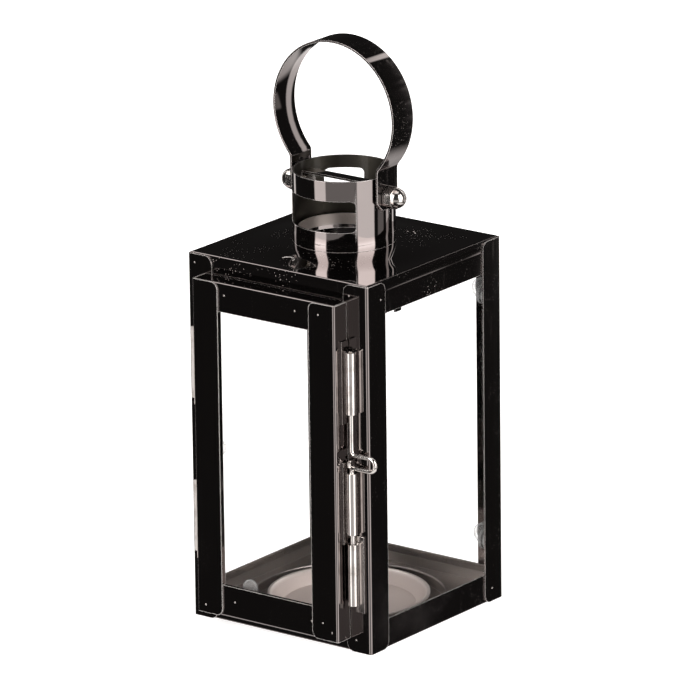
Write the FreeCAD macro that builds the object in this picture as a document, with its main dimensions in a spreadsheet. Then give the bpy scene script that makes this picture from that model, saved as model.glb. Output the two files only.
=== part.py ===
import FreeCAD, Part
import math
import os
import re

import Sketcher
from FreeCAD import Placement, Rotation, Vector

# Candle lantern, in millimetres. +Z is up, the door faces -Y, the origin is on the
# standing plane under the middle of the square body.

# Every size that can be set by itself, once.
SIZES = {
    # body
    "plan": 105.0,             # outside of the square body
    "height": 180.0,           # standing plane to the cover's edge
    "sheet": 0.8,              # cover, base tray and floor
    "post_sheet": 0.7,
    "post_flange": 14.0,
    "post_bend": 1.2,          # outside radius of a post's fold
    "post_round": 4.0,         # round on a post's free corners
    "post_drop": 0.6,          # post ends below the cover's top
    "pan_bend": 1.0,           # outside radius of the cover's and tray's upright corners
    "pan_edge": 0.9,           # the same between their plate and walls
    "cover_flange": 16.4,
    "crown": 2.2,              # rise of the cover towards the chimney
    "crown_r": 50.0,
    "tray_rim": 14.3,
    "floor_level": 6.0,
    "floor_gap": 0.3,          # between the raised floor and the tray's rim
    "well_r": 46.0,
    "well_round": 0.7,
    # candle dish
    "dish_r": 38.8,
    "dish_step_r": 34.0,
    "dish_base_r": 32.5,
    "dish_height": 6.4,
    "dish_step": 1.6,
    "dish_lip": 0.7,
    "dish_lip_in": 0.5,        # lip's inner edge, in from its fold
    "dish_wall": 0.72,         # across the sloping wall, at the bottom
    # fixed panes
    "glass": 1.5,
    "pane_side": 9.2,          # a fixed pane's upright edges, in from the posts' outside
    "pane_lap": 4.0,           # how far a pane reaches behind the rails
    "pad_r": 5.0,
    "pad_over": 1.0,           # pad thickness over the glass
    "pad_low": 31.0,
    "pad_top": 27.0,           # upper pads below the cover
    "tongue_at": 24.5,
    "tongue_width": 5.0,
    "tongue_drop": 2.6,
    "tongue_gap": 0.3,         # tongue's foot above the pane
    # door
    "door_left": 42.5,         # hinge edge, left of the middle
    "door_right": 40.7,
    "door_low": 6.6,
    "door_top": 9.0,           # door's top edge below the cover
    "door_depth": 10.0,        # body's front plane to the door's face
    "door_gap": 0.4,           # door's back edge to the body
    "door_sheet": 0.7,
    "door_bend": 1.0,
    "stile_left": 14.8,
    "stile_right": 15.1,
    "rail_top": 14.2,
    "rail_bottom": 15.4,
    "door_lip": 2.7,           # depth of the fold around the window
    "stile_round": 3.5,
    "door_glass": 1.5,
    "door_pane_lap": 2.2,
    "door_pad_r": 4.1,
    "door_pad_at": 14.3,
    "door_pad_sunk": 2.6,      # middle of the upper pad behind the window's edge
    "door_pad_hid": 4.0,       # the same of the two pads behind the stiles
    # hinges and latch tubes
    "tube_r": 2.0,
    "tube_standoff": 0.3,
    "leaf": 0.8,
    "leaf_width": 6.2,
    "pin_r": 0.9,
    "pin_fit": 0.05,
    "hinge_length": 35.0,
    "hinge_low": 50.0,         # middle of the lower hinge
    "hinge_top": 54.0,         # middle of the upper hinge, below the cover
    "knuckle_gap": 0.3,
    "knuckle": 14.7,           # the door's middle knuckle
    "web_back": 1.2,           # hinge leaf behind the door's face
    "latch_tube_r": 2.4,
    "latch_tube": 30.0,
    "latch_leaf": 40.0,
    "keeper_leaf": 37.4,
    "latch_leaf_width": 5.0,
    "latch_leaf_ahead": 0.4,   # leaf's middle in front of the tube's axis
    "guide_high": 132.8,       # middles of the three latch tubes
    "guide_low": 74.0,
    "keeper_mid": 39.2,
    "bolt_r": 1.05,
    "bolt_fit": 0.08,
    "bolt_top": 146.5,
    "bolt_bend": 2.2,
    "grip_high": 98.0,         # upper and lower leg of the bolt's grip
    "grip_low": 91.6,
    "grip_reach": 10.2,        # bolt's axis to the middle of the grip's end bend
    "curl_r": 1.45,            # hooked end of the wire, left of the bolt's axis
    "curl_wire": 0.95,         # its wire is filed thinner
    "curl_reach": 0.2,
    # chimney
    "chimney_r": 24.4,
    "chimney_wall": 0.9,
    "chimney_height": 34.3,
    "window_low": 9.5,         # above the cover
    "window_high": 24.6,
    "window_round": 2.2,
    "front_window": 50.0,      # half angle, in degrees
    "rear_pier": 12.5,         # half angle of the seam between the rear windows
    "rear_window": 59.0,       # half angle to their far sides
    "rear_lift": 3.5,          # rear windows above the front one
    "neck_fit": 1.5,           # neck to the chimney's bore
    "neck_rise": 6.3,          # neck above the crown
    # handle
    "pivot_rise": 24.55,       # pivot above the crown
    "ring_r": 35.2,
    "ring_mid": 37.95,         # ring's middle above the pivot
    "strap": 1.0,
    "strap_width": 15.6,
    "tab_gap": 0.3,            # chimney wall to tab, and tab to nut
    "tab_below": 6.0,
    "tab_clip": 4.0,
    "strap_bend": 3.0,
    "bolt_shank": 3.0,
    "bolt_running": 0.05,
    "bolt_head_r": 4.4,
    "bolt_head": 2.4,
    "nut_flats": 10.0,
    "nut_hex": 4.8,
    "nut_dome_r": 4.75,
    "nut_crown": 0.4,          # turned off the hexagon's corners
    "bridge_width": 6.3,
    "bridge_sheet": 1.0,
    "bridge_fit": 0.25,        # stirrup's legs to the tube's bore
    "bridge_bend": 1.4,
    "bridge_rise": 5.9,        # bridge above the pivot
    "bridge_leg": 7.0,         # leg below the pivot
}

doc = FreeCAD.newDocument("lantern")
size_sheet = doc.addObject("Spreadsheet::Sheet", "Sizes")
for row, (name, value) in enumerate(SIZES.items(), start=1):
    size_sheet.set("A%d" % row, name)
    size_sheet.set("B%d" % row, str(value))
    size_sheet.setAlias("B%d" % row, name)
doc.recompute()


def words(text):
    """Turns size names in a formula into cells of the size sheet."""
    return re.sub(r"[a-z]\w*", lambda m: "Sizes." + m.group() if m.group() in SIZES else m.group(), text)


def size(name):
    return float(size_sheet.get(name))


def bind(thing, path, formula):
    thing.setExpression(path, words(formula))


# ---------------------------------------------------------------- features

def new_body(label):
    return doc.addObject("PartDesign::Body", label)


def new_sketch(body, plane, lift="0"):
    """A sketch on one of the body's own planes, lifted along the plane's normal."""
    sketch = body.newObject("Sketcher::SketchObject", body.Label + "_sketch")
    support = [feature for feature in body.Origin.OriginFeatures if feature.Role == plane][0]
    sketch.AttachmentSupport = [(support, "")]
    sketch.MapMode = "FlatFace"
    bind(sketch, "AttachmentOffset.Base.z", lift)
    return sketch


def fix(sketch, geometry, point, x, y):
    """Holds one point of a sketch at (x, y), both formulas in named sizes."""
    drawn = sketch.getPoint(geometry, point)
    for kind, start, formula in (("DistanceX", drawn.x, x), ("DistanceY", drawn.y, y)):
        if formula is None:
            continue
        index = sketch.addConstraint(Sketcher.Constraint(kind, -1, 1, geometry, point, start))
        bind(sketch, "Constraints[%d]" % index, formula)


def outline(sketch, corners):
    """A closed straight-sided outline through corners given as formulas."""
    count = len(corners)
    first = sketch.GeometryCount
    guess = [Vector(math.cos(2 * math.pi * i / count), math.sin(2 * math.pi * i / count), 0)
             for i in range(count)]
    for i in range(count):
        sketch.addGeometry(Part.LineSegment(guess[i], guess[(i + 1) % count]))
    for i in range(count):
        sketch.addConstraint(
            Sketcher.Constraint("Coincident", first + i, 2, first + (i + 1) % count, 1))
    for i, (x, y) in enumerate(corners):
        fix(sketch, first + i, 1, x, y)


def rectangle(sketch, left, low, right, high):
    outline(sketch, [(left, low), (right, low), (right, high), (left, high)])


def rounded_window(sketch, left, low, right, high, radius):
    """A rectangle with rounded corners."""
    lines = [((left + "+" + radius, low), (right + "-" + radius, low)),
             ((right, low + "+" + radius), (right, high + "-" + radius)),
             ((right + "-" + radius, high), (left + "+" + radius, high)),
             ((left, high + "-" + radius), (left, low + "+" + radius))]
    middles = [right + "-" + radius, right + "-" + radius, left + "+" + radius, left + "+" + radius]
    first = sketch.GeometryCount
    for quarter, (start, end) in enumerate(lines):
        turn = Rotation(Vector(0, 0, 1), 90 * quarter)
        line = sketch.addGeometry(Part.LineSegment(turn.multVec(Vector(-2, -3, 0)),
                                                   turn.multVec(Vector(2, -3, 0))))
        centre = turn.multVec(Vector(2, -2, 0))
        corner = Part.Circle(centre, Vector(0, 0, 1), 1)
        arc = sketch.addGeometry(Part.ArcOfCircle(corner, math.radians(90 * quarter - 90),
                                                  math.radians(90 * quarter)))
        fix(sketch, line, 1, *start)
        fix(sketch, line, 2, *end)
        fix(sketch, arc, 3, middles[quarter], None)
    for quarter in range(4):
        line = first + 2 * quarter
        sketch.addConstraint(Sketcher.Constraint("Coincident", line, 2, line + 1, 1))
        following = first + (2 * quarter + 2) % 8
        sketch.addConstraint(Sketcher.Constraint("Coincident", line + 1, 2, following, 1))


def circle(sketch, x, y, radius):
    index = sketch.addGeometry(Part.Circle(Vector(1, 1, 0), Vector(0, 0, 1), 2))
    fix(sketch, index, 3, x, y)
    constraint = sketch.addConstraint(Sketcher.Constraint("Radius", index, 2.0))
    bind(sketch, "Constraints[%d]" % constraint, radius)


def pad(body, sketch, length, through="Pad", both_ways=False):
    feature = body.newObject("PartDesign::" + through, body.Label + "_" + through.lower())
    feature.Profile = sketch
    bind(feature, "Length", length)
    if both_ways:
        feature.SideType = "Symmetric"
    return feature


def turned(body, sketch, kind="Revolution"):
    """Turns a section drawn on the XZ plane all round the body's Z axis."""
    feature = body.newObject("PartDesign::" + kind, body.Label + "_" + kind.lower())
    feature.Profile = sketch
    feature.ReferenceAxis = (sketch, ["V_Axis"])
    feature.Angle = 360
    return feature


def rounded(body, base, radius, chosen):
    """Rounds the edges of the latest feature that the test picks out."""
    doc.recompute()
    names = ["Edge%d" % i for i, edge in enumerate(base.Shape.Edges, start=1) if chosen(edge)]
    feature = body.newObject("PartDesign::Fillet", body.Label + "_round")
    feature.Base = (base, names)
    bind(feature, "Radius", radius)
    return feature


def cylinder(label, radius, height, x="0", y="0", z="0", turn=None):
    solid = doc.addObject("Part::Cylinder", label)
    bind(solid, "Radius", radius)
    bind(solid, "Height", height)
    if turn:
        solid.Placement = Placement(Vector(), turn)
    for axis, formula in zip("xyz", (x, y, z)):
        bind(solid, "Placement.Base." + axis, formula)
    return solid


def box(label, x, y, z, length, width, height):
    solid = doc.addObject("Part::Box", label)
    for path, formula in (("Length", length), ("Width", width), ("Height", height),
                          ("Placement.Base.x", x), ("Placement.Base.y", y), ("Placement.Base.z", z)):
        bind(solid, path, formula)
    return solid


def fused(label, solids):
    result = doc.addObject("Part::MultiFuse", label)
    result.Shapes = solids
    result.Refine = True
    return result


def cut(label, base, tool):
    result = doc.addObject("Part::Cut", label)
    result.Base = base
    result.Tool = tool
    return result


def group(label, solids):
    result = doc.addObject("Part::Compound", label)
    result.Links = solids
    return result


def about_z(degrees):
    return Placement(Vector(), Rotation(Vector(0, 0, 1), degrees))


def upright(edge):
    box_ = edge.BoundBox
    return box_.XLength < 1e-4 and box_.YLength < 1e-4


def near(a, b):
    return abs(a - b) < 1e-3


ALONG_X = Rotation(Vector(0, 1, 0), 90)
ALONG_Y = Rotation(Vector(1, 0, 0), -90)
PARTS = []

# ---------------------------------------------------------------- corner posts
# Four equal angles of thin sheet stand outside the tray's rim and the cover's flanges.

HALF = "plan / 2"
INSIDE = "(plan / 2 - post_sheet)"


def corner_post(label, degrees):
    body = new_body(label)
    sketch = new_sketch(body, "XY_Plane")
    free = "plan / 2 - post_flange"
    outline(sketch, [(free, HALF), (HALF, HALF), (HALF, free),
                     (INSIDE, free), (INSIDE, INSIDE), (free, INSIDE)])
    angle = pad(body, sketch, "height - post_drop")
    half = size("plan") / 2
    inner = half - size("post_sheet")
    fold = rounded(body, angle, "post_bend", lambda e: upright(e) and near(e.BoundBox.XMax, half)
                   and near(e.BoundBox.YMax, half))
    fold = rounded(body, fold, "post_bend - post_sheet",
                   lambda e: upright(e) and near(e.BoundBox.XMax, inner) and near(e.BoundBox.YMax, inner))
    rounded(body, fold, "post_round", lambda e: near(e.Length, size("post_sheet"))
            and (near(e.BoundBox.XMax, half - size("post_flange"))
                 or near(e.BoundBox.YMax, half - size("post_flange"))))
    body.Placement = about_z(degrees)
    PARTS.append(body)


corner_post("rear_right_post", 0)
corner_post("rear_left_post", 90)
corner_post("front_left_post", 180)
corner_post("front_right_post", 270)

# ---------------------------------------------------------------- base tray and cover
# Both are square pans: the tray's rim stands up inside the posts, the cover's flanges hang
# down inside them.


def pan(label, plate_low, wall_low, wall, hole=None):
    """A flat square plate with a wall all round; hole is the radius left open in the plate."""
    body = new_body(label)
    plate = new_sketch(body, "XY_Plane", plate_low)
    rectangle(plate, "-" + INSIDE, "-" + INSIDE, INSIDE, INSIDE)
    if hole:
        circle(plate, "0", "0", hole)
    pad(body, plate, "sheet")
    skin = "(plan / 2 - post_sheet - sheet)"
    walls = new_sketch(body, "XY_Plane", wall_low)
    rectangle(walls, "-" + INSIDE, "-" + INSIDE, INSIDE, INSIDE)
    rectangle(walls, "-" + skin, "-" + skin, skin, skin)
    return body, pad(body, walls, wall)


def pan_folds(body, feature, level):
    """Rounds the pan's four upright corners and the fold between plate and walls."""
    reach = size("plan") / 2 - size("post_sheet")
    corner = rounded(body, feature, "pan_bend", lambda e: upright(e)
                     and near(abs(e.CenterOfMass.x), reach) and near(abs(e.CenterOfMass.y), reach))
    rounded(body, corner, "pan_edge", lambda e: near(e.BoundBox.ZMin, level)
            and near(e.BoundBox.ZMax, level)
            and max(abs(e.CenterOfMass.x), abs(e.CenterOfMass.y)) > reach - size("pan_bend"))
    PARTS.append(body)


tray, tray_walls = pan("base_tray", "0", "0", "tray_rim")
pan_folds(tray, tray_walls, 0.0)

cover, cover_walls = pan("top_cover", "height - sheet", "height - cover_flange", "cover_flange", "crown_r")

# The cover rises in a shallow S curve to the chimney and ends in a drawn neck.
NECK_OUT = "(chimney_r - chimney_wall - neck_fit)"
NECK_IN = "(chimney_r - chimney_wall - neck_fit - sheet)"
NECK_TOP = "height + crown + neck_rise"
S_CURVE = [(0.0, 0.0), (0.2, 0.08), (0.4, 0.33), (0.6, 0.67), (0.8, 0.92), (1.0, 1.0)]


def slope(drop):
    """Points of the S curve from the cover's flat rim in to the chimney's seat."""
    return [("crown_r - %g * (crown_r - chimney_r - 1)" % along, "height - %s + %g * crown" % (drop, up))
            for along, up in S_CURVE]


rise = new_sketch(cover, "XZ_Plane")
outline(rise, slope("0") + [(NECK_OUT, "height + crown"), (NECK_OUT, NECK_TOP), (NECK_IN, NECK_TOP),
                            (NECK_IN, "height + crown - sheet")] + slope("sheet")[::-1])
crowned = turned(cover, rise)
pan_folds(cover, crowned, size("height"))

# ---------------------------------------------------------------- raised floor
# A second plate with a round well for the candle dish, standing on the tray.

raised = new_body("raised_floor")
REACH = "(plan / 2 - post_sheet - sheet - floor_gap)"
INNER = "(plan / 2 - post_sheet - 2 * sheet - floor_gap)"
top = new_sketch(raised, "XY_Plane", "floor_level - sheet")
rectangle(top, "-" + REACH, "-" + REACH, REACH, REACH)
circle(top, "0", "0", "well_r")
pad(raised, top, "sheet")
legs = new_sketch(raised, "XY_Plane", "sheet")
rectangle(legs, "-" + REACH, "-" + REACH, REACH, REACH)
rectangle(legs, "-" + INNER, "-" + INNER, INNER, INNER)
pad(raised, legs, "floor_level - sheet")
well = new_sketch(raised, "XY_Plane", "sheet")
circle(well, "0", "0", "well_r + sheet")
circle(well, "0", "0", "well_r")
collar = pad(raised, well, "floor_level - sheet")
rounded(raised, collar, "well_round", lambda e: near(e.BoundBox.ZMin, size("floor_level"))
        and near(e.BoundBox.XLength, 2 * size("well_r")))
PARTS.append(raised)

# ---------------------------------------------------------------- candle dish
# A shallow spun dish with a stepped bottom and a small turned-out lip.

dish = new_body("candle_dish")
bowl = new_sketch(dish, "XZ_Plane")
outline(bowl, [
    ("0", "sheet"), ("dish_base_r", "sheet"), ("dish_step_r", "sheet + dish_step"),
    ("dish_r - dish_lip", "sheet + dish_height - dish_lip"), ("dish_r", "sheet + dish_height - dish_lip"),
    ("dish_r", "sheet + dish_height"), ("dish_r - dish_lip - dish_lip_in", "sheet + dish_height"),
    ("dish_step_r - dish_wall", "2 * sheet + dish_step"), ("dish_base_r - dish_wall", "2 * sheet"),
    ("0", "2 * sheet")])
turned(dish, bowl)
PARTS.append(dish)

# ---------------------------------------------------------------- fixed panes
# Three equal panes stand behind the rails. Round pads of clear sealant hold each pane to
# the posts, and a small tongue of sheet hangs behind its top edge.

PANE_HALF = "(plan / 2 - pane_side)"
tongues = []


def fixed_pane(side, degrees):
    """Made as the rear pane, then turned to its own side of the body."""
    def pane_box(label):
        return box(label, "-" + PANE_HALF, "plan / 2 - post_sheet - sheet - glass", "tray_rim - pane_lap",
                   "2 * " + PANE_HALF, "glass", "height - cover_flange - tray_rim + 2 * pane_lap")

    pane = group(side + "_glass", [pane_box(side + "_sheet_of_glass")])
    pads = [cylinder(side + "_pad", "pad_r", "sheet + glass + pad_over", x,
                     "plan / 2 - post_sheet - sheet - glass - pad_over", z, ALONG_Y)
            for x in (PANE_HALF, "-" + PANE_HALF) for z in ("pad_low", "height - pad_top")]
    held = group(side + "_glass_pads", [cut(side + "_pads_over_glass", group(side + "_pad_set", pads),
                                            pane_box(side + "_pad_recess"))])
    edge = "tongue_at - tongue_width / 2"
    pane_top = "height - cover_flange + pane_lap + tongue_gap"
    hook = fused(side + "_tongue", [
        box(side + "_foot", edge, "plan / 2 - post_sheet - 2 * sheet", pane_top,
            "tongue_width", "sheet", "5 * sheet"),
        box(side + "_shelf", edge, "plan / 2 - post_sheet - 2 * sheet - glass", pane_top,
            "tongue_width", "glass + sheet", "sheet"),
        box(side + "_drop", edge, "plan / 2 - post_sheet - 2 * sheet - glass",
            "height - cover_flange - tongue_drop", "tongue_width", "sheet",
            "tongue_drop + pane_lap + tongue_gap + sheet")])
    tongue = group(side + "_tongue_turned", [hook])
    for thing in (pane, held, tongue):
        thing.Placement = about_z(degrees)
    tongues.append(tongue)
    PARTS.extend([pane, held])


fixed_pane("rear", 0)
fixed_pane("left", 90)
fixed_pane("right", -90)
PARTS.append(group("glass_tongues", tongues))

# ---------------------------------------------------------------- door frame
# Two stiles lie over two rails. Each is a strip folded back along its outer edge, and along
# the window its inner edge is folded back as well.

FACE = "-(plan / 2 + door_depth)"
SECOND = "-(plan / 2 + door_depth - door_sheet)"
BACK = "-(plan / 2 + door_gap)"
DOOR_HIGH = "(height - door_top)"
WINDOW_LOW = "(door_low + rail_bottom)"
WINDOW_HIGH = "(height - door_top - rail_top)"
WINDOW_LEFT = "(stile_left - door_left)"
WINDOW_RIGHT = "(door_right - stile_right)"


def stile(label, edge, window, inward):
    """edge and window are the x of its outer and inner edge; inward is "+" or "-"."""
    outward = "-" if inward == "+" else "+"
    body = new_body(label)
    strip = new_sketch(body, "XY_Plane", "door_low")
    outline(strip, [(edge, BACK), (edge, FACE), (window, FACE), (window, SECOND),
                    (edge + inward + "door_sheet", SECOND), (edge + inward + "door_sheet", BACK)])
    folded = pad(body, strip, DOOR_HIGH + " - door_low")
    lip = new_sketch(body, "XY_Plane", WINDOW_LOW)
    outline(lip, [(window, FACE), (window, FACE + " + door_lip"),
                  (window + outward + "door_sheet", FACE + " + door_lip"),
                  (window + outward + "door_sheet", FACE)])
    lipped = pad(body, lip, WINDOW_HIGH + "-" + WINDOW_LOW)
    face = -size("plan") / 2 - size("door_depth")
    outer = -size("door_left") if inward == "+" else size("door_right")
    bend = rounded(body, lipped, "door_bend", lambda e: upright(e) and near(e.BoundBox.XMin, outer)
                   and near(e.BoundBox.YMin, face))
    rounded(body, bend, "stile_round", lambda e: near(e.Length, size("door_sheet"))
            and near(e.BoundBox.YLength, e.Length) and near(e.BoundBox.YMin, face)
            and abs(e.CenterOfMass.x - outer) > size("door_lip")
            and (near(e.BoundBox.ZMin, size("door_low"))
                 or near(e.BoundBox.ZMax, size("height") - size("door_top"))))
    PARTS.append(body)


def rail(label, edge, window, inward):
    """Spans the door behind both stiles; edge and window are heights."""
    body = new_body(label)
    strip = new_sketch(body, "YZ_Plane", "-door_left + door_sheet")
    third = SECOND + " + door_sheet"
    outline(strip, [(BACK, edge), (SECOND, edge), (SECOND, window), (third, window),
                    (third, edge + inward + "door_sheet"), (BACK, edge + inward + "door_sheet")])
    folded = pad(body, strip, "door_left + door_right - 2 * door_sheet")
    outward = "-" if inward == "+" else "+"
    lip = new_sketch(body, "YZ_Plane", WINDOW_LEFT)
    outline(lip, [(SECOND, window), (FACE + " + door_lip", window),
                  (FACE + " + door_lip", window + outward + "door_sheet"),
                  (SECOND, window + outward + "door_sheet")])
    lipped = pad(body, lip, WINDOW_RIGHT + "-" + WINDOW_LEFT)
    level = size("door_low") if inward == "+" else size("height") - size("door_top")
    front = -size("plan") / 2 - size("door_depth") + size("door_sheet")
    rounded(body, lipped, "door_bend", lambda e: near(e.BoundBox.ZLength, 0) and near(e.BoundBox.YLength, 0)
            and near(e.BoundBox.ZMin, level) and near(e.BoundBox.YMin, front))
    PARTS.append(body)


stile("door_left_stile", "-door_left", WINDOW_LEFT, "+")
stile("door_right_stile", "door_right", WINDOW_RIGHT, "-")
rail("door_bottom_rail", "door_low", WINDOW_LOW, "+")
rail("door_top_rail", DOOR_HIGH, WINDOW_HIGH, "-")


def door_pane(label):
    return box(label, WINDOW_LEFT + " - door_pane_lap", FACE + " + door_lip",
               WINDOW_LOW + " - door_pane_lap",
               WINDOW_RIGHT + "-" + WINDOW_LEFT + " + 2 * door_pane_lap", "door_glass",
               WINDOW_HIGH + "-" + WINDOW_LOW + " + 2 * door_pane_lap")


PARTS.append(door_pane("door_glass"))
DOOR_MIDDLE = "(door_low + height - door_top) / 2"
door_pads = [cylinder("door_pad", "door_pad_r", "door_glass + pad_over", x, FACE + " + door_lip", z, ALONG_Y)
             for x, z in (("-door_pad_at", WINDOW_LOW),
                          ("door_pad_at", WINDOW_HIGH + " + door_pad_sunk"),
                          (WINDOW_LEFT + " - door_pad_hid", DOOR_MIDDLE),
                          (WINDOW_RIGHT + " + door_pad_hid", DOOR_MIDDLE))]
PARTS.append(cut("door_glass_pads", group("door_pad_set", door_pads), door_pane("door_pad_recess")))

# ---------------------------------------------------------------- hinges
# Two butt hinges beside the door's left edge: the outer knuckles belong to the leaf on the
# post, the middle one to the leaf on the door, and a plain pin holds them together.

HINGE_X = "(-door_left - tube_standoff - tube_r)"
HINGE_Y = "(-plan / 2 - tube_standoff - tube_r)"
MIDDLE = "knuckle"
END_KNUCKLE = "((hinge_length - knuckle) / 2 - knuckle_gap)"
pins = []


def hinge(label, middle):
    low = middle + " - hinge_length / 2"
    post_leaf = box(label + "_post_plate", HINGE_X + " - leaf_width", "-plan / 2 - leaf", low,
                    "leaf_width", "leaf", "hinge_length")
    ends = [cylinder(label + "_knuckle", "tube_r", END_KNUCKLE, HINGE_X, HINGE_Y, z)
            for z in (low, middle + " + hinge_length / 2 - " + END_KNUCKLE)]
    room = cylinder(label + "_room", "tube_r + tube_standoff", MIDDLE + " + 2 * knuckle_gap", HINGE_X,
                    HINGE_Y, middle + " - " + MIDDLE + " / 2 - knuckle_gap")
    bore = cylinder(label + "_bore", "pin_r", "hinge_length", HINGE_X, HINGE_Y, low)
    fixed = cut(label + "_post_leaf", fused(label + "_post_side", [post_leaf] + ends),
                fused(label + "_post_void", [room, bore]))
    knuckle = cylinder(label + "_middle", "tube_r", MIDDLE, HINGE_X, HINGE_Y,
                       middle + " - " + MIDDLE + " / 2")
    web = box(label + "_web", "-door_left - leaf", FACE + " + web_back", middle + " - " + MIDDLE + " / 2",
              "leaf", "door_depth - web_back - tube_standoff - tube_r", MIDDLE)
    plate = box(label + "_door_plate", "-door_left - leaf", FACE + " + web_back", low, "leaf",
                "door_depth - web_back - 2 * tube_standoff - 2 * tube_r", "hinge_length")
    hole = cylinder(label + "_hole", "pin_r + pin_fit", "hinge_length", HINGE_X, HINGE_Y, low)
    moving = cut(label + "_door_leaf", fused(label + "_door_side", [knuckle, web, plate]), hole)
    pins.append(cylinder(label + "_pin", "pin_r", "hinge_length", HINGE_X, HINGE_Y, low))
    PARTS.extend([fixed, moving])


hinge("lower_hinge", "hinge_low")
hinge("upper_hinge", "(height - hinge_top)")
PARTS.append(group("hinge_pins", pins))

# ---------------------------------------------------------------- latch
# Two guide tubes on the door's right edge and a keeper tube on the post stand in one line.
# The bolt is one bent wire: its upper stem runs in the upper guide, its looped grip lies
# between the guides, and its lower stem runs in the lower guide towards the keeper. The
# wire's end is hooked back over the lower stem.

BOLT_X = "(door_right + 2 * tube_standoff + leaf + latch_tube_r)"
BOLT_Y = "(-plan / 2 - tube_standoff - latch_tube_r)"


def latch_tube(label, middle, parts):
    """A tube joined to its leaf, with the bolt's bore through it."""
    barrel = cylinder(label + "_barrel", "latch_tube_r", "latch_tube", BOLT_X, BOLT_Y,
                      middle + " - latch_tube / 2")
    bore = cylinder(label + "_bore", "bolt_r + bolt_fit", "latch_leaf", BOLT_X, BOLT_Y,
                    middle + " - latch_leaf / 2")
    PARTS.append(cut(label, fused(label + "_solid", [barrel] + parts), bore))


def guide(label, middle):
    leaf_plate = box(label + "_leaf", "door_right", BOLT_Y + " - latch_leaf_width / 2 - latch_leaf_ahead",
                     middle + " - latch_leaf / 2", "leaf", "latch_leaf_width", "latch_leaf")
    web = box(label + "_web", "door_right", BOLT_Y + " - leaf / 2", middle + " - latch_tube / 2",
              BOLT_X + " - door_right", "leaf", "latch_tube")
    latch_tube(label, middle, [leaf_plate, web])


guide("upper_latch_guide", "guide_high")
guide("lower_latch_guide", "guide_low")
latch_tube("latch_keeper", "keeper_mid",
           [box("keeper_plate", BOLT_X, "-plan / 2 - leaf", "keeper_mid - keeper_leaf / 2",
                "latch_leaf_width", "leaf", "keeper_leaf")])


def wire_bend(label, x, z, radius, start, sweep, thick="bolt_r"):
    """Part of a ring of the bolt's wire, in the plane of the latch."""
    ring = doc.addObject("Part::Torus", label)
    bind(ring, "Radius1", radius)
    bind(ring, "Radius2", thick)
    ring.Angle3 = sweep
    ring.Placement = Placement(Vector(), Rotation(Vector(1, 0, 0), 90).multiply(
        Rotation(Vector(0, 0, 1), start)))
    for axis, formula in zip("xyz", (x, BOLT_Y, z)):
        bind(ring, "Placement.Base." + axis, formula)
    return ring


GRIP_END = BOLT_X + " + grip_reach"
LEG_START = BOLT_X + " + bolt_bend"
CURL_X = BOLT_X + " - curl_reach"
BOLT_LOW = "(keeper_mid + latch_tube / 2 + tube_standoff)"
wire = [
    cylinder("upper_stem", "bolt_r", "bolt_top - grip_high - bolt_bend", BOLT_X, BOLT_Y,
             "grip_high + bolt_bend"),
    wire_bend("upper_bend", LEG_START, "grip_high + bolt_bend", "bolt_bend", 180, 90),
    cylinder("upper_leg", "bolt_r", "grip_reach - bolt_bend", LEG_START, BOLT_Y, "grip_high", ALONG_X),
    wire_bend("end_bend", GRIP_END, "(grip_high + grip_low) / 2", "(grip_high - grip_low) / 2", -90, 180),
    cylinder("lower_leg", "bolt_r", "grip_reach - bolt_bend", LEG_START, BOLT_Y, "grip_low", ALONG_X),
    wire_bend("lower_bend", LEG_START, "grip_low - bolt_bend", "bolt_bend", 90, 90),
    cylinder("curl_leg", "curl_wire", "2 * bolt_bend + curl_reach", CURL_X, BOLT_Y, "grip_low", ALONG_X),
    wire_bend("curl", CURL_X, "grip_low + curl_r", "curl_r", 90, 180, "curl_wire"),
    cylinder("lower_stem", "bolt_r", "grip_low - bolt_bend - " + BOLT_LOW, BOLT_X, BOLT_Y, BOLT_LOW),
]
PARTS.append(fused("latch_bolt", wire))

# ---------------------------------------------------------------- chimney
# A rolled tube over the cover's neck, open at the top, with one wide window towards the door
# and two behind, either side of its seam.

SEAT_LEVEL = "(height + crown)"
PIVOT = "(height + crown + pivot_rise)"

chimney = new_body("chimney")
ring = new_sketch(chimney, "XY_Plane", SEAT_LEVEL)
circle(ring, "0", "0", "chimney_r")
circle(ring, "0", "0", "chimney_r - chimney_wall")
pad(chimney, ring, "chimney_height")


def windows(spans, depth_sign, lift):
    """Cuts windows through one half of the tube; spans are pairs of x."""
    sketch = new_sketch(chimney, "XZ_Plane")
    for left, right in spans:
        rounded_window(sketch, left, SEAT_LEVEL + " + window_low + " + lift,
                       right, SEAT_LEVEL + " + window_high + " + lift, "window_round")
    pocket = pad(chimney, sketch, "2 * chimney_r", "Pocket")
    pocket.Reversed = depth_sign
    return pocket


front = "(chimney_r * sin(front_window * 1 deg))"
pier = "(chimney_r * sin(rear_pier * 1 deg))"
far = "(chimney_r * sin(rear_window * 1 deg))"
windows([("-" + front, front)], True, "0")
windows([("-" + far, "-" + pier), (pier, far)], False, "rear_lift")
bolt_holes = new_sketch(chimney, "YZ_Plane")
circle(bolt_holes, "0", PIVOT, "bolt_shank")
pad(chimney, bolt_holes, "3 * chimney_r", "Pocket", both_ways=True)
PARTS.append(chimney)

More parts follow.
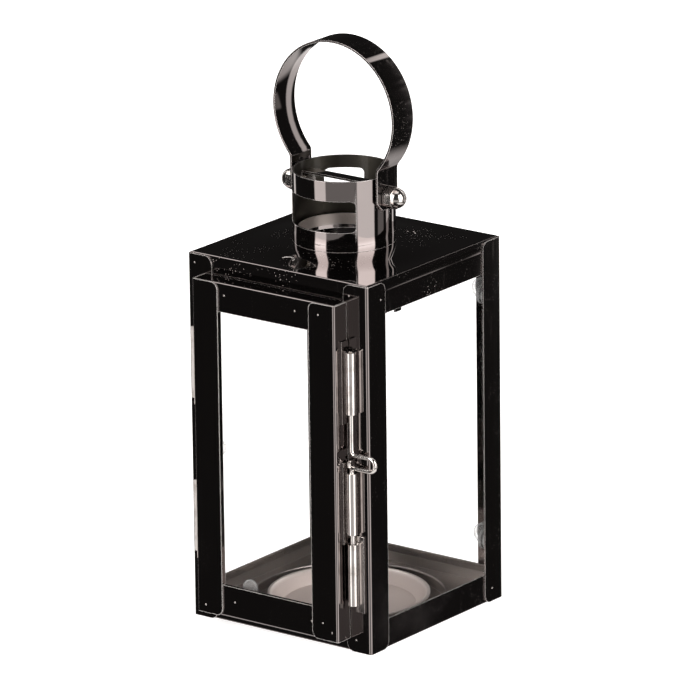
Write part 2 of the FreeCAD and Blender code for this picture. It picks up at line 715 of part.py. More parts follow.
# A flat stirrup inside the tube takes the handle bolts and stiffens its mouth.
WALL_IN = "(chimney_r - chimney_wall - bridge_fit)"
LEG_IN = "(chimney_r - chimney_wall - bridge_fit - bridge_sheet)"
bridge = new_body("chimney_bridge")
stirrup = new_sketch(bridge, "XZ_Plane")
BRIDGE_LOW = PIVOT + " - bridge_leg"
BRIDGE_TOP = PIVOT + " + bridge_rise"
outline(stirrup, [("-" + WALL_IN, BRIDGE_LOW), ("-" + WALL_IN, BRIDGE_TOP), (WALL_IN, BRIDGE_TOP),
                  (WALL_IN, BRIDGE_LOW), (LEG_IN, BRIDGE_LOW), (LEG_IN, BRIDGE_TOP + " - bridge_sheet"),
                  ("-" + LEG_IN, BRIDGE_TOP + " - bridge_sheet"), ("-" + LEG_IN, BRIDGE_LOW)])
pad(bridge, stirrup, "bridge_width", both_ways=True)
leg_holes = new_sketch(bridge, "YZ_Plane")
circle(leg_holes, "0", PIVOT, "bolt_shank")
legs_cut = pad(bridge, leg_holes, "3 * chimney_r", "Pocket", both_ways=True)
top_level = size("height") + size("crown") + size("pivot_rise") + size("bridge_rise")
rounded(bridge, legs_cut, "bridge_bend", lambda e: near(e.BoundBox.ZMin, top_level)
        and near(e.BoundBox.XLength, 0))
PARTS.append(bridge)

# ---------------------------------------------------------------- handle
# One flat strap bent into a ring; its straight ends flank the chimney and turn on the bolts.

TAB_IN = "(chimney_r + tab_gap)"
TAB_OUT = "(chimney_r + tab_gap + strap)"
TAB_LOW = PIVOT + " - tab_below"
RING_Z = PIVOT + " + ring_mid"
handle = new_body("handle")
loop = new_sketch(handle, "XZ_Plane")
ring_level = size("height") + size("crown") + size("pivot_rise") + size("ring_mid")


def ring_arc(radius_name, radius, x_name, x):
    start = -math.acos(x / radius)
    arc = Part.ArcOfCircle(Part.Circle(Vector(0, ring_level, 0), Vector(0, 0, 1), radius),
                           start, math.pi - start)
    index = loop.addGeometry(arc)
    fix(loop, index, 3, "0", RING_Z)
    constraint = loop.addConstraint(Sketcher.Constraint("Radius", index, radius))
    bind(loop, "Constraints[%d]" % constraint, radius_name)
    fix(loop, index, 1, x_name, None)
    fix(loop, index, 2, "-" + x_name, None)
    return index


tab_in = size("chimney_r") + size("tab_gap")
tab_out = tab_in + size("strap")
outer_arc = ring_arc("ring_r", size("ring_r"), TAB_OUT, tab_out)
inner_arc = ring_arc("ring_r - strap", size("ring_r") - size("strap"), TAB_IN, tab_in)
low_level = ring_level - size("ring_mid") - size("tab_below")
for end, sign in ((1, ""), (2, "-")):
    side = 1 if end == 1 else -1
    outer_drop = ring_level - math.sqrt(size("ring_r") ** 2 - tab_out ** 2)
    inner_drop = ring_level - math.sqrt((size("ring_r") - size("strap")) ** 2 - tab_in ** 2)
    first = loop.GeometryCount
    tab = [Vector(side * tab_out, outer_drop, 0), Vector(side * tab_out, low_level, 0),
           Vector(side * tab_in, low_level, 0), Vector(side * tab_in, inner_drop, 0)]
    for start, finish in zip(tab, tab[1:]):
        loop.addGeometry(Part.LineSegment(start, finish))
    for a, b, c, d in ((outer_arc, end, first, 1), (first, 2, first + 1, 1),
                       (first + 1, 2, first + 2, 1), (first + 2, 2, inner_arc, end)):
        loop.addConstraint(Sketcher.Constraint("Coincident", a, b, c, d))
    fix(loop, first, 2, sign + TAB_OUT, TAB_LOW)
    fix(loop, first + 1, 2, sign + TAB_IN, TAB_LOW)
bent = pad(handle, loop, "strap_width", both_ways=True)
tab_holes = new_sketch(handle, "YZ_Plane")
circle(tab_holes, "0", PIVOT, "bolt_shank + bolt_running")
holed = pad(handle, tab_holes, "3 * chimney_r", "Pocket", both_ways=True)


def across(edge):
    """A straight edge right across the strap."""
    return near(edge.BoundBox.YLength, size("strap_width")) and near(edge.BoundBox.XLength, 0)


necked = rounded(handle, holed, "strap_bend", lambda e: across(e) and near(abs(e.CenterOfMass.x), tab_in)
                 and e.CenterOfMass.z > low_level + 5)
necked = rounded(handle, necked, "strap_bend + strap", lambda e: across(e)
                 and near(abs(e.CenterOfMass.x), tab_out) and e.CenterOfMass.z > low_level + 5)
clipped = handle.newObject("PartDesign::Chamfer", "handle_clip")
doc.recompute()
clipped.Base = (necked, ["Edge%d" % i for i, e in enumerate(necked.Shape.Edges, start=1)
                         if near(e.Length, size("strap")) and near(e.BoundBox.XLength, size("strap"))
                         and near(e.CenterOfMass.z, low_level)])
bind(clipped, "Size", "tab_clip")
PARTS.append(handle)

# ---------------------------------------------------------------- handle bolts and cap nuts

NUT_FACE = "(chimney_r + 2 * tab_gap + strap)"
bolts = []
nuts = []
for side, turn in (("right", Rotation()), ("left", Rotation(Vector(0, 0, 1), 180))):
    head = cylinder(side + "_head", "bolt_head_r", "bolt_head", LEG_IN + " - bolt_head", "0", "0", ALONG_X)
    shank = cylinder(side + "_shank", "bolt_shank", NUT_FACE + " + nut_hex - " + LEG_IN, LEG_IN, "0", "0",
                     ALONG_X)
    bolt = group(side + "_bolt", [fused(side + "_bolt_solid", [head, shank])])
    hexagon = doc.addObject("Part::Prism", side + "_hex")
    hexagon.Polygon = 6
    bind(hexagon, "Circumradius", "nut_flats / sqrt(3)")
    bind(hexagon, "Height", "nut_hex")
    hexagon.Placement = Placement(Vector(), ALONG_X)
    bind(hexagon, "Placement.Base.x", NUT_FACE)
    dome = doc.addObject("Part::Sphere", side + "_dome")
    bind(dome, "Radius", "nut_dome_r")
    bind(dome, "Placement.Base.x", NUT_FACE + " + nut_hex")
    trim = cylinder(side + "_crown", "nut_flats / sqrt(3) - nut_crown", "nut_hex + 2 * nut_dome_r",
                    NUT_FACE, "0", "0", ALONG_X)
    blind = cylinder(side + "_thread", "bolt_shank", "nut_hex", NUT_FACE, "0", "0", ALONG_X)
    body = fused(side + "_nut_body", [hexagon, dome])
    turned_down = doc.addObject("Part::MultiCommon", side + "_nut_turned")
    turned_down.Shapes = [body, trim]
    nut = group(side + "_nut", [cut(side + "_nut_solid", turned_down, blind)])
    for thing in (bolt, nut):
        thing.Placement = Placement(Vector(), turn)
        bind(thing, "Placement.Base.z", PIVOT)
    bolts.append(bolt)
    nuts.append(nut)
PARTS.append(group("handle_bolts", bolts))
PARTS.append(group("cap_nuts", nuts))

# ---------------------------------------------------------------- write

doc.recompute()
for thing in doc.Objects:
    if "Invalid" in thing.State or "Error" in thing.State:
        raise RuntimeError("%s did not compute: %s" % (thing.Label, thing.State))
os.makedirs("parts", exist_ok=True)
for part in PARTS:
    shape = part.Shape
    if shape.isNull() or not shape.isValid() or not shape.Solids:
        raise RuntimeError("%s has no valid solid" % part.Label)
    shape.exportStep("parts/%s.step" % part.Label)
    print("%-20s %2d solid(s) %10.1f mm3" % (part.Label, len(shape.Solids), shape.Volume))
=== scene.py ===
import math

import bmesh
import bpy
from mathutils import Matrix, Vector


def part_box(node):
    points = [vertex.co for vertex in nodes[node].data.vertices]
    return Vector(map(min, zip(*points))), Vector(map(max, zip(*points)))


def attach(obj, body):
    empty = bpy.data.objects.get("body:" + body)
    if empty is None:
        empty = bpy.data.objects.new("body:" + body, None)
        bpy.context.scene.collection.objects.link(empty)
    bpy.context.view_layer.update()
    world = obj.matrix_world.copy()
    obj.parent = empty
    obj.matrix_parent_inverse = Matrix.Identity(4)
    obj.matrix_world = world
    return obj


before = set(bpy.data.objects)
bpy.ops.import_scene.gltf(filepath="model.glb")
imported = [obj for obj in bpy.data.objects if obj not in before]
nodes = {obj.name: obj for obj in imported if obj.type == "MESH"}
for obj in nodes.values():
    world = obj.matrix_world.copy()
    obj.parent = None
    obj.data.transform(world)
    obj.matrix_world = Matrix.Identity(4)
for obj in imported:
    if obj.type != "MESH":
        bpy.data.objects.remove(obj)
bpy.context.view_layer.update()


# ---- Tray and raised floor: two pressed pans of thin steel, plated in polished black nickel.
# The tray's rim is spot-welded inside the posts; the floor plate drops in and leaves a round
# well for the dish. The plating shows smears, fine rubs and specks of dust.

class Flow:
    """One value running through a finish. Arithmetic on it adds Math nodes."""

    def __init__(self, finish, socket):
        self.finish = finish
        self.socket = socket

    def __add__(self, other):
        return self.finish.joined("ADD", self, other)

    def __sub__(self, other):
        return self.finish.joined("SUBTRACT", self, other)

    def __rsub__(self, other):
        return self.finish.joined("SUBTRACT", other, self)

    def __mul__(self, other):
        return self.finish.joined("MULTIPLY", self, other)

    def __pow__(self, other):
        return self.finish.joined("POWER", self, other)

    __radd__ = __add__
    __rmul__ = __mul__

    def from_to(self, low, high):
        """0 below low, 1 above high, smooth between; low may be the larger."""
        return self.finish.node("ShaderNodeMapRange", {"interpolation_type": "SMOOTHSTEP"},
                                {"Value": self, "From Min": low, "From Max": high})


class Finish:
    """A material with one Principled shader, built up by its nodes."""

    def __init__(self, name, **fixed):
        self.material = bpy.data.materials.new(name)
        self.material.use_nodes = True
        self.tree = self.material.node_tree
        self.tree.nodes.clear()
        output = self.tree.nodes.new("ShaderNodeOutputMaterial")
        self.shader = self.tree.nodes.new("ShaderNodeBsdfPrincipled")
        self.tree.links.new(self.shader.outputs[0], output.inputs[0])
        for label, value in fixed.items():
            self.shader.inputs[label.replace("_", " ")].default_value = value

    def node(self, kind, settings, sockets, output=0):
        made = self.tree.nodes.new(kind)
        for label, value in settings.items():
            setattr(made, label, value)
        self.feed(made, sockets)
        return Flow(self, made.outputs[output])

    def feed(self, made, sockets):
        for label, value in sockets.items():
            if isinstance(value, Flow):
                self.tree.links.new(value.socket, made.inputs[label])
            else:
                made.inputs[label].default_value = value

    def joined(self, operation, first, second):
        return self.node("ShaderNodeMath", {"operation": operation}, {0: first, 1: second})

    def place(self):
        return self.node("ShaderNodeTexCoord", {}, {}, "Object")

    def axis(self, letter):
        return self.node("ShaderNodeSeparateXYZ", {}, {0: self.place()}, letter)

    def stretched(self, scale):
        return self.node("ShaderNodeMapping", {}, {"Vector": self.place(), "Scale": scale})

    def noise(self, scale, detail, vector=None):
        return self.node("ShaderNodeTexNoise", {},
                         {"Vector": vector or self.place(), "Scale": scale, "Detail": detail})

    def cells(self, scale):
        """Distance to the nearest of many scattered points."""
        return self.node("ShaderNodeTexVoronoi", {}, {"Vector": self.place(), "Scale": scale}, "Distance")

    def blend(self, amount, first, second):
        """A colour that goes from first to second."""
        return self.node("ShaderNodeMix", {"data_type": "RGBA"}, {0: amount, 6: first, 7: second}, 2)

    def round_reach(self):
        """Distance from the lantern's upright axis."""
        return (self.axis("X") ** 2.0 + self.axis("Y") ** 2.0) ** 0.5

    def square_reach(self):
        """The larger of the distances along X and Y from the lantern's middle."""
        return self.joined("MAXIMUM", self.axis("X") ** 2.0, self.axis("Y") ** 2.0) ** 0.5

    def edges(self, radius):
        """1 along sharp edges and tight folds, 0 elsewhere."""
        soft = self.node("ShaderNodeBevel", {"samples": 4}, {"Radius": radius})
        true = self.node("ShaderNodeNewGeometry", {}, {}, "Normal")
        facing = self.node("ShaderNodeVectorMath", {"operation": "DOT_PRODUCT"}, {0: soft, 1: true}, "Value")
        return facing.from_to(0.995, 0.86)

    def raised(self, height, depth, strength, under=None):
        """A relief of that depth in metres, over the relief under it."""
        sockets = {"Height": height, "Distance": depth, "Strength": strength}
        if under:
            sockets["Normal"] = under
        return self.node("ShaderNodeBump", {}, sockets)

    def give(self, sockets):
        self.feed(self.shader, sockets)


def black_nickel(name, tint, smear=1.0, dust=1.0, waves=1.0, hollow=None, inside=None, flange=0.0,
                 matt=0.0, fold=0.0004):
    """Polished black plating. tint is its colour at normal view. smear, dust and waves are how
    strong each of them is. hollow is (half width, height, radius): a strap ring about that height
    whose inner face is slightly dished. inside is (shape, reach, height, colour): within that reach
    and above that height that colour is laid on and the sheet is rougher; it is thin, dull plating
    in the tray, a pale colour in the cover's neck that is partly painted light, and painted shade
    inside the chimney. flange waves the sheet below that height. matt adds roughness. fold is how
    wide the painted highlight along each bend and sharp edge is."""
    # The second colour here is the near white of the painted highlight along folds and sharp edges; the
    # first is the colour of real dust.
    dust_grey, fold_highlight_white = (0.62, 0.58, 0.55, 1), (0.95, 0.92, 0.89, 1)
    finish = Finish(name, Metallic=1.0, IOR=1.9, Coat_Weight=0.25, Coat_Roughness=0.03)
    smears = finish.noise(26.0, 4.0).from_to(0.48, 0.78)
    rubs = finish.noise(320.0, 2.0, finish.stretched((1.0, 1.0, 0.08))).from_to(0.60, 0.76)
    grains = finish.cells(760.0).from_to(0.19, 0.09)
    dusty = finish.noise(42.0, 3.0).from_to(0.46, 0.62)
    specks = grains * dusty * dust
    # Along folds and sharp edges the colour is made pale, rougher and less metallic: a painted highlight
    # line along each bend.
    fold_highlight = finish.edges(fold)
    plate = finish.blend(smears * (0.25 * smear), (*tint, 1), (*(c * 1.5 for c in tint), 1))
    plate_and_painted_light = finish.blend(fold_highlight * 0.9, plate, fold_highlight_white)
    rough = smears * (0.07 * smear) + rubs * 0.05 + fold_highlight * 0.34 + specks * 0.35 + (0.035 + matt)
    ripples = finish.noise(9.0, 1.0)
    if flange:
        ripples = ripples * (finish.axis("Z").from_to(flange, flange - 0.003) * 25.0 + 1.0)
    sheet = finish.raised(ripples, 0.0009 * waves, 0.5)
    if inside:
        shape, within, above, colour = inside
        reach = finish.round_reach() if shape == "round" else finish.square_reach()
        well_within = reach.from_to(within + 0.0002, within - 0.0002)
        # Within that reach and above that height the given colour is laid on, rougher: dull plate in the
        # tray, a pale colour that is partly painted light in the cover's neck, painted shade inside the
        # chimney.
        dull = well_within * finish.axis("Z").from_to(above, above + 0.0005)
        plate_and_painted_light = finish.blend(dull * 0.95, plate_and_painted_light, (*colour, 1))
        rough = rough + dull * 0.40
    if hollow:
        half, height, radius = hollow
        across_strap = finish.axis("Y") * (1 / half)
        from_ring = (finish.axis("X") ** 2.0 + (finish.axis("Z") - height) ** 2.0) ** 0.5
        dished = across_strap * across_strap * from_ring.from_to(radius + 0.0001, radius - 0.0001)
        sheet = finish.raised(dished, -0.0005, 1.0, sheet)
    finish.give({
        "Base Color": finish.blend(specks * 0.5, plate_and_painted_light, dust_grey),
        "Roughness": rough,
        "Metallic": 1 - fold_highlight * 0.6,
        "Normal": finish.raised(specks, 0.00006, 0.6, sheet)})
    return finish.material


def dress(name, material, edge=0.00012):
    """Gives a metal or glass part its finish and takes the knife edge off its corners."""
    part = nodes[name]
    part.data.materials.clear()
    part.data.materials.append(material)
    for face in part.data.polygons:
        face.use_smooth = True
    weld = part.modifiers.new("joined", "WELD")
    weld.merge_threshold = 1e-6
    bevel = part.modifiers.new("eased edges", "BEVEL")
    bevel.width = edge
    bevel.segments = 2
    bevel.limit_method = "ANGLE"
    bevel.angle_limit = math.radians(40)
    bevel.harden_normals = False
    weighted = part.modifiers.new("even shading", "WEIGHTED_NORMAL")
    weighted.keep_sharp = False
    weighted.weight = 60


INK = (0.26, 0.235, 0.23)
FLOOR_INK = (0.36, 0.33, 0.315)
DULL_IN_TRAY = (0.36, 0.33, 0.31)
PAN_WALL, PAN_FLOOR = 0.0004, 0.0005
pan_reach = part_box("base_tray")[1].x
pan_black = black_nickel("black nickel on the tray", INK, dust=0.2, waves=0.25,
                         inside=("square", pan_reach - PAN_WALL, PAN_FLOOR, DULL_IN_TRAY))
floor_black = black_nickel("black nickel on the floor", FLOOR_INK, smear=0.4, dust=0.8, waves=0.1, matt=0.34)
dress("base_tray", pan_black)
dress("raised_floor", floor_black)


# ---- Candle dish: spun from thin sheet, satin grey inside, with a stepped bottom and a
# smoother rolled rim whose paler colour is a painted highlight. It stands loose in the floor's well.

dish_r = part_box("candle_dish")[1].x
satin = Finish("satin spun steel", Metallic=0.55)
out = satin.round_reach()
turning = satin.node("ShaderNodeCombineXYZ", {}, {0: out * 900.0})
spun = satin.noise(1.0, 2.0, turning)
cloud = satin.noise(30.0, 3.0)
# Towards the rolled rim the finish is smoother and the colour paler; the paler colour is a painted highlight
# along the rim.
rim = out.from_to(dish_r - 0.0030, dish_r - 0.0012)
satin_grey = satin.blend(cloud, (0.66, 0.58, 0.545, 1), (0.76, 0.68, 0.64, 1))
satin.give({
    "Base Color": satin.blend(rim * 0.8, satin_grey, (0.92, 0.86, 0.82, 1)),
    "Roughness": 0.56 - rim * 0.26 + cloud * 0.08,
    "Normal": satin.raised(spun, 0.00003, 0.5)})
dress("candle_dish", satin.material, 0.0002)


# ---- Corner posts and cover: folded angles and a pressed square lid with a shallow crown, in
# the same black plate. The posts overlap the lid's flanges and are spot-welded to them.

post_black = black_nickel("black nickel on the posts", INK, waves=0.5, dust=0.1)
for corner in ("front_left", "front_right", "rear_left", "rear_right"):
    dress(corner + "_post", post_black)
cover_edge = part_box("rear_left_post")[1].z
NECK_R, NECK_FOOT = 0.0225, 0.0035
# Inside the cover's neck the plate is rougher and pale: partly a dull finish, partly painted light falling
# down through the chimney.
NECK_DULL_AND_PAINTED_LIGHT = (0.62, 0.56, 0.52)
cover_black = black_nickel("black nickel on the cover", INK, smear=0.5, dust=1.6, waves=0.22,
                           inside=("round", NECK_R, cover_edge + NECK_FOOT, NECK_DULL_AND_PAINTED_LIGHT),
                           flange=cover_edge - 0.002)
dress("top_cover", cover_black)


# ---- Fixed panes: three plain sheets of thin glass behind the rails, each held to the posts
# by four clear sealant pads, with a small tongue of black sheet at its top edge. The glass is
# nearly all see-through face on, brighter towards grazing view and green at its cut edges.

glass = Finish("clear pane glass", Metallic=1.0)
grazing = glass.node("ShaderNodeLayerWeight", {}, {"Blend": 0.5}, "Facing") ** 5.0
film = glass.noise(14.0, 3.0).from_to(0.45, 0.85)
cut = glass.edges(0.0006)
glass.give({
    "Base Color": glass.blend(cut, (0.93, 0.95, 0.95, 1), (0.30, 0.42, 0.38, 1)),
    "Roughness": film * 0.06 + 0.01,
    "Alpha": grazing * 0.8 + film * 0.010 + cut * 0.30 + 0.012})

gum = Finish("clear sealant", IOR=1.42)
lumps = gum.noise(420.0, 3.0)
gum.give({
    "Base Color": gum.blend(lumps, (0.62, 0.63, 0.63, 1), (0.80, 0.81, 0.80, 1)),
    "Roughness": lumps * 0.2 + 0.12,
    "Alpha": gum.edges(0.0012) * 0.30 + lumps * 0.10 + 0.12,
    "Normal": gum.raised(lumps, 0.0002, 0.5)})

PANE_EDGE, PAD_EDGE = 0.0003, 0.0006
for side in ("left", "right", "rear"):
    dress(side + "_glass", glass.material, PANE_EDGE)
    dress(side + "_glass_pads", gum.material, PAD_EDGE)
dress("glass_tongues", post_black)


# ---- Door frame: two stiles lap over two rails, all strips folded back at their outer edge
# and round the window, spot-welded at the laps. Its pane sits behind, on sealant pads.

# The door's folds get a wider painted highlight line.
door_black = black_nickel("black nickel on the door", INK, smear=0.9, dust=0.12, waves=0.3,
                          fold=0.0006)
for member in ("door_left_stile", "door_right_stile", "door_top_rail", "door_bottom_rail"):
    dress(member, door_black)
dress("door_glass", glass.material, PANE_EDGE)
dress("door_glass_pads", gum.material, PAD_EDGE)


# ---- Hinges: two small butt hinges of rolled sheet on bright wire pins, one leaf of each on
# the left post and one on the door's left fold. Their nickel has gone dull.

def bright_nickel(name, drawn, tube=None, matt=0.0):
    """Bright plating; drawn is how fine its grain is along X, Y and Z. tube is (x, y, radius): the
    leaf beyond that radius from the tube's own axis keeps the black plating. matt adds roughness."""
    nickel = Finish(name, Metallic=1.0)
    lines = nickel.noise(60.0, 3.0, nickel.stretched(drawn))
    tarnish = nickel.noise(110.0, 4.0).from_to(0.45, 0.75)
    plate = nickel.blend(tarnish, (0.86, 0.83, 0.80, 1), (0.58, 0.54, 0.51, 1))
    if tube:
        x, y, radius = tube
        away = ((nickel.axis("X") - x) ** 2.0 + (nickel.axis("Y") - y) ** 2.0) ** 0.5
        leaf_only = away.from_to(radius, radius + 0.0001) * (1 - nickel.edges(0.0004))
        plate = nickel.blend(leaf_only * 0.85, plate, (*INK, 1))
    nickel.give({
        "Base Color": plate,
        "Roughness": lines * 0.12 + tarnish * 0.10 + (0.08 + matt),
        "Normal": nickel.raised(lines, 0.00003, 0.4)})
    return nickel.material


ALONG_TUBE = (30.0, 30.0, 0.5)
WIRE_EDGE = 0.00005
dress("hinge_pins", bright_nickel("bright nickel tube", ALONG_TUBE), WIRE_EDGE)
leaf_nickel = bright_nickel("dull nickel on the hinge leaves", (8.0, 8.0, 2.0), matt=0.35)
for hinge in ("upper_hinge", "lower_hinge"):
    dress(hinge + "_post_leaf", leaf_nickel, 0.00008)
    dress(hinge + "_door_leaf", leaf_nickel, 0.00008)


# ---- Latch: three rolled tubes, two on the door's right fold and a keeper on the post, bright
# with draw lines and light tarnish. Their small leaves are spot-welded on and plated black like
# the door. The bolt that slides in the upper two is bent bright wire.

TUBE_R = 0.0024
keeper_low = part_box("latch_keeper")[0]
tube_round = (keeper_low.x + TUBE_R, keeper_low.y + TUBE_R, TUBE_R + 0.0001)
rolled_nickel = bright_nickel("nickel on the rolled tubes", ALONG_TUBE, tube_round)
for tube in ("upper_latch_guide", "lower_latch_guide", "latch_keeper"):
    dress(tube, rolled_nickel, 0.0001)
dress("latch_bolt", bright_nickel("bright nickel wire", (20.0, 20.0, 2.0)), WIRE_EDGE)


# ---- Chimney: a rolled collar over the cover's neck, its inside dark with painted shade, with a
# wide vent in front and two behind, either side of its seam. The handle's bolts hold it and the
# flat bridge across its mouth.

CHIMNEY_WALL = 0.0005
# Inside the bore the plate is painted near black and made rougher: painted shade.
CHIMNEY_PAINTED_SHADE = (0.06, 0.056, 0.045)
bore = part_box("chimney")[1].x - CHIMNEY_WALL
chimney_black = black_nickel("black nickel on the chimney", INK, smear=0.6, dust=0.2, waves=0.4,
                             inside=("round", bore, 0, CHIMNEY_PAINTED_SHADE))
dress("chimney", chimney_black)
dress("chimney_bridge", black_nickel("black nickel on the bridge", INK, dust=0.2, waves=0.3))


# ---- Handle: one flat strap bent to a ring, black like the rest, turning on two short bolts
# closed by bright cap nuts. RING_OUT is the ring's outer radius, STRAP the strap's thickness.

RING_OUT, STRAP = 0.0352, 0.0010
strap_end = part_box("handle")[1]
ring_height = strap_end.z - RING_OUT
strap_black = black_nickel("black nickel on the strap", INK, smear=0.8, dust=0.5, waves=0.6,
                           hollow=(strap_end.y, ring_height, RING_OUT - STRAP / 2))
dress("handle", strap_black, 0.00015)
nut_nickel = bright_nickel("bright nickel nut", (6.0, 6.0, 6.0))
dress("cap_nuts", nut_nickel, 0.0003)
dress("handle_bolts", nut_nickel, 0.0002)


# ---- Weld marks: the small dimples that spot welds leave in the plating, one at each lap of
# the door and of the body, and a crescent tool mark with three dents on the cover. The places
# are in millimetres.

# The marks and dents get a paler copy of the black plate; its paler colour is a painted glint on each.
marks_plate_with_painted_glint = black_nickel("weld-mark plating paled as painted glint", (0.42, 0.39, 0.37), dust=0.0)


def marks(name, body, places, radius, proud):
    """Low domes at (point in millimetres, outward normal) pairs."""
    mesh = bmesh.new()
    for point, normal in places:
        toward = Vector(normal).to_track_quat("Z", "Y").to_matrix().to_4x4()
        flat = Matrix.Diagonal((1, 1, proud / radius, 1))
        bmesh.ops.create_uvsphere(mesh, u_segments=16, v_segments=8, radius=radius,
                                  matrix=Matrix.Translation(Vector(point) / 1000) @ toward @ flat)
    data = bpy.data.meshes.new(name)
    mesh.to_mesh(data)
    mesh.free()
    for face in data.polygons:
        face.use_smooth = True
    data.materials.append(marks_plate_with_painted_glint)
    made = bpy.data.objects.new(name, data)
    bpy.context.scene.collection.objects.link(made)
    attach(made, body)


WELD_R, WELD_PROUD = 0.00045, 0.00012
SHEET = 0.7
door_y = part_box("door_left_stile")[0].y * 1000
rail_y = door_y + SHEET
front_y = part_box("front_left_post")[0].y * 1000
side_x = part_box("front_right_post")[1].x * 1000
door_marks = [((x, y, z), (0, -1, 0)) for x, y, z in (
    (-24.2, rail_y, 165.2), (17.2, rail_y, 164.8), (31.3, door_y, 165.5), (-37.7, door_y, 10.5),
    (-20.8, rail_y, 14.6), (24.8, rail_y, 14.3), (31.8, door_y, 14.9), (37.1, door_y, 11.0))]
marks("door_weld_marks", "door", door_marks, WELD_R, WELD_PROUD)
body_marks = [((x, front_y, z), (0, -1, 0)) for x, z in ((-48.6, 175.2), (41.8, 174.0), (43.7, 6.0))]
body_marks += [((side_x, y, z), (1, 0, 0)) for y, z in ((-42.0, 171.4), (44.0, 6.6))]
marks("body_weld_marks", "root", body_marks, WELD_R, WELD_PROUD)

ABOVE_ALL = 400
mid_x, mid_y, half_x, half_y = -4.0, -39.0, 3.2, 2.6
crescent = [(mid_x + half_x * math.cos(step / 6), mid_y + half_y * math.sin(step / 6))
            for step in range(18)]
three_dents = [(16.5, 27.6), (18.6, 29.5), (20.4, 28.2)]
dents = []
for x, y in crescent + three_dents:
    struck, point, normal, _ = nodes["top_cover"].ray_cast(Vector((x, y, ABOVE_ALL)) / 1000,
                                                           Vector((0, 0, -1)))
    if struck:
        dents.append((point * 1000, normal))
marks("cover_dents", "root", dents, 0.0005, 0.0002)


# ---- Table, light and camera: a pale matt table in a white room. The room lights the lantern
# by direction: two tall boxes either side of the camera, their light off the table, a few
# narrow panels behind and to the left, and a soft glow overhead.

TABLE_REACH = 40
table = bpy.data.meshes.new("table_top")
table.from_pydata([(x * TABLE_REACH, y * TABLE_REACH, 0) for x, y in ((-1, -1), (1, -1), (1, 1), (-1, 1))],
                  [], [(0, 1, 2, 3)])
table_top = bpy.data.objects.new("table_top", table)
bpy.context.scene.collection.objects.link(table_top)
pale = Finish("pale matt table", Roughness=0.9, Emission_Color=(1, 1, 1, 1), Emission_Strength=0.75)
pale.give({"Base Color": pale.blend(pale.noise(3.0, 2.0), (0.93, 0.93, 0.93, 1), (0.95, 0.95, 0.95, 1))})
table.materials.append(pale.material)
table_top.visible_glossy = False

world = bpy.data.worlds.new("white room")
bpy.context.scene.world = world
world.use_nodes = True


class Room(Finish):
    """The room round the lantern: how bright it is by bearing and by height, both in degrees.
    Bearings start straight before the door and grow towards +X; heights start level."""

    def __init__(self):
        self.tree = world.node_tree
        self.tree.nodes.clear()
        direction = self.node("ShaderNodeTexCoord", {}, {}, "Generated")
        self.across, self.behind, above = (
            self.node("ShaderNodeSeparateXYZ", {}, {0: direction}, letter) for letter in "XYZ")
        degree = 180 / math.pi
        self.bearing = self.joined("ARCTAN2", self.across, self.behind * -1.0) * degree
        self.height = self.joined("ARCSINE", above, 0.0) * degree

    def band(self, value, low, high, soft):
        return value.from_to(low - soft, low + soft) * value.from_to(high + soft, high - soft)

    def patch(self, left, right, low, high, light, soft):
        """A soft-edged patch of light between two bearings and two heights."""
        return self.band(self.bearing, left, right, soft) * self.band(self.height, low, high, soft) * light


ALL_ROUND, TABLE_GLOW, OVERHEAD_GLOW = 0.018, 0.9, 1.6
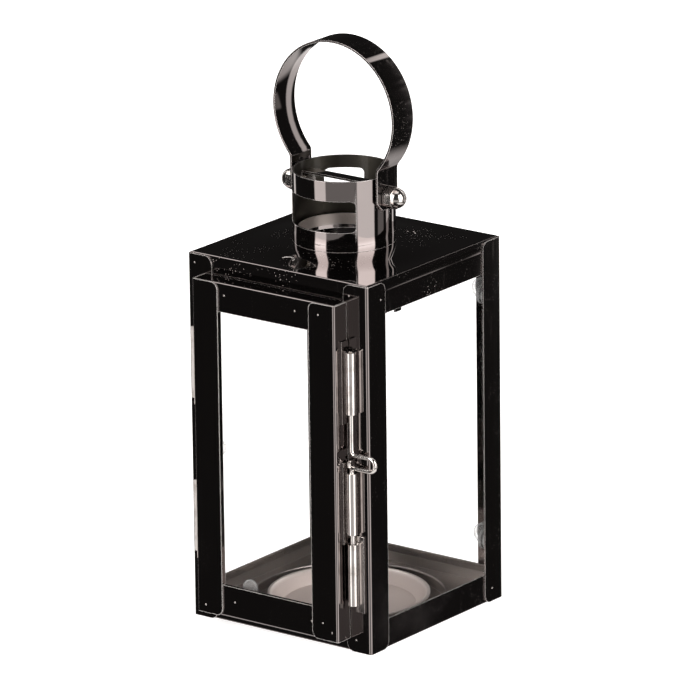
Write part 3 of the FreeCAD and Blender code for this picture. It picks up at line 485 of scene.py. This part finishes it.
# Each patch: left, right, low, high, how bright, how soft its edge is.
PATCHES = (
    (-31, -4, 0, 46, 5.5, 1.5),         # the left box
    (67, 108, 0, 46, 5.5, 1.5),         # the right box
    (-31, -4, -29, -2, 1.8, 1.5),       # the left box's light off the table
    (67, 108, -29, -2, 1.8, 1.5),       # the right box's light off the table
    (-4, 67, -27, -5, 0.40, 1.5),       # the table between the boxes
    (118, 135, -27, -8, 0.30, 2),       # the table past the right box
    (-108, -98, -29, 40, 1.3, 1.5),     # a narrow panel on the left
    (172, 179, -29, 40, 1.5, 1.5),      # a narrow panel behind
    (-105, -50, 44, 66, 2.2, 1.5))      # a high panel on the left
room = Room()
light = room.height.from_to(-34, -42) * TABLE_GLOW + room.height.from_to(68, 76) * OVERHEAD_GLOW + ALL_ROUND
for patch in PATCHES:
    light = light + room.patch(*patch)
# A slim strip behind and to the left, met only by the dished inside of the ring's left half.
light = light + room.band(room.behind, 0.787, 0.855, 0.010) * room.across.from_to(-0.46, -0.38) * 1.2
seen = room.node("ShaderNodeLightPath", {}, {}, "Is Camera Ray")
tone = room.blend(seen, (1.0, 0.955, 0.935, 1), (1, 1, 1, 1))
glow = room.tree.nodes.new("ShaderNodeBackground")
sky = room.tree.nodes.new("ShaderNodeOutputWorld")
room.feed(glow, {"Color": tone, "Strength": seen + (1 - seen) * light})
room.tree.links.new(glow.outputs[0], sky.inputs[0])

bpy.context.scene.view_settings.view_transform = "Standard"

AZIMUTH, ELEVATION, ROLL = math.radians(37.14), math.radians(17.61), math.radians(-0.726)
DISTANCE, LENS, SENSOR = 3.675, 403.5, 36.0
middle = Vector((0, 0, 0.0902))
back = Vector((math.sin(AZIMUTH) * math.cos(ELEVATION), -math.cos(AZIMUTH) * math.cos(ELEVATION),
               math.sin(ELEVATION)))
level = Vector((math.cos(AZIMUTH), math.sin(AZIMUTH), 0))
rise = back.cross(level)
right = level * math.cos(ROLL) + rise * math.sin(ROLL)
up = rise * math.cos(ROLL) - level * math.sin(ROLL)
lens_data = bpy.data.cameras.new("camera")
lens_data.sensor_width = SENSOR
lens_data.lens = LENS
lens_data.clip_start, lens_data.clip_end = 0.05, 60.0
camera = bpy.data.objects.new("camera", lens_data)
bpy.context.scene.collection.objects.link(camera)
bpy.context.scene.camera = camera
# The camera aims a little left of the body's middle and above it.
drawn_at = Vector((0.0001, -0.01017, -1.0)).normalized()
aside = drawn_at.rotation_difference(Vector((0, 0, -1)))
facing = Matrix((right, up, back)).transposed() @ aside.to_matrix()
camera.rotation_mode = "QUATERNION"
camera.rotation_quaternion = facing.to_quaternion()
camera.location = middle + back * DISTANCE
